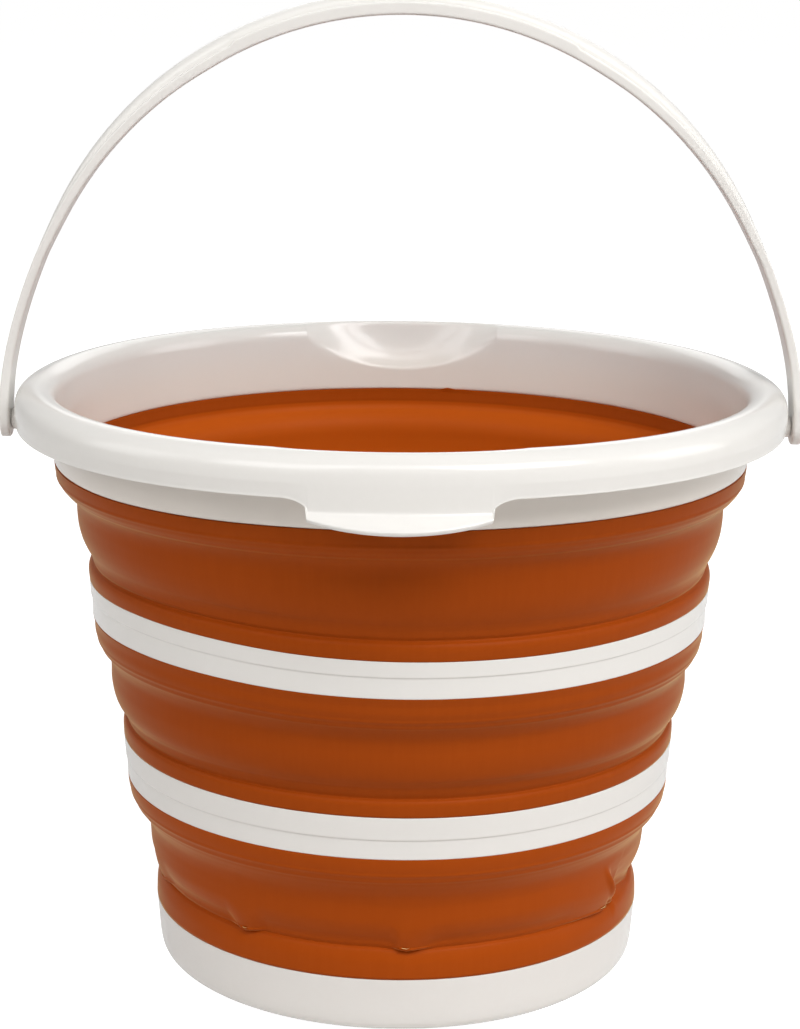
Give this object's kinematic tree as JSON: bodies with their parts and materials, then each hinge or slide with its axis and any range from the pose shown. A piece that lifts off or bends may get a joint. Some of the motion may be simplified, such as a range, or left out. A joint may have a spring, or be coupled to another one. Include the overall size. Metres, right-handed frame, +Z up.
{
  "type": "collapsible bucket",
  "caption": "Collapsible bucket with a rigid base, rings and rim joined by folding soft walls, and a swinging bow handle.",
  "frame": {"origin": "middle of the foot, on the surface that the bucket stands on", "axes": "+Z up out of the mouth, +X toward one handle socket, Y through the two grip tabs"},
  "size_m": [0.3344, 0.334, 0.4056],
  "materials": {
    "white_plastic": "smooth moulded off-white polypropylene",
    "orange_rubber": "silky matte burnt-orange elastomer"
  },
  "bodies": {
    "base": {"base_cup": "white_plastic", "lower_membrane": "orange_rubber"},
    "lower_band": {"lower_ring": "white_plastic", "middle_membrane": "orange_rubber"},
    "upper_band": {"upper_ring": "white_plastic", "upper_membrane": "orange_rubber"},
    "rim": {"top_rim": "white_plastic"},
    "handle": {"handle": "white_plastic"}
  },
  "joints": [
    {"name": "lower_fold", "type": "slide", "parent": "base", "child": "lower_band", "axis": [0, 0, -1], "range_m": [0, 0.063], "deforming": ["lower_membrane"]},
    {"name": "middle_fold", "type": "slide", "parent": "lower_band", "child": "upper_band", "axis": [0, 0, -1], "range_m": [0, 0.063], "deforming": ["middle_membrane"]},
    {"name": "upper_fold", "type": "slide", "parent": "upper_band", "child": "rim", "axis": [0, 0, -1], "range_m": [0, 0.063], "deforming": ["upper_membrane"]},
    {"name": "handle_swing", "type": "hinge", "parent": "rim", "child": "handle", "pos_m": [0, 0, 0.229], "axis": [1, 0, 0], "range_deg": [-88, 88]}
  ]
}
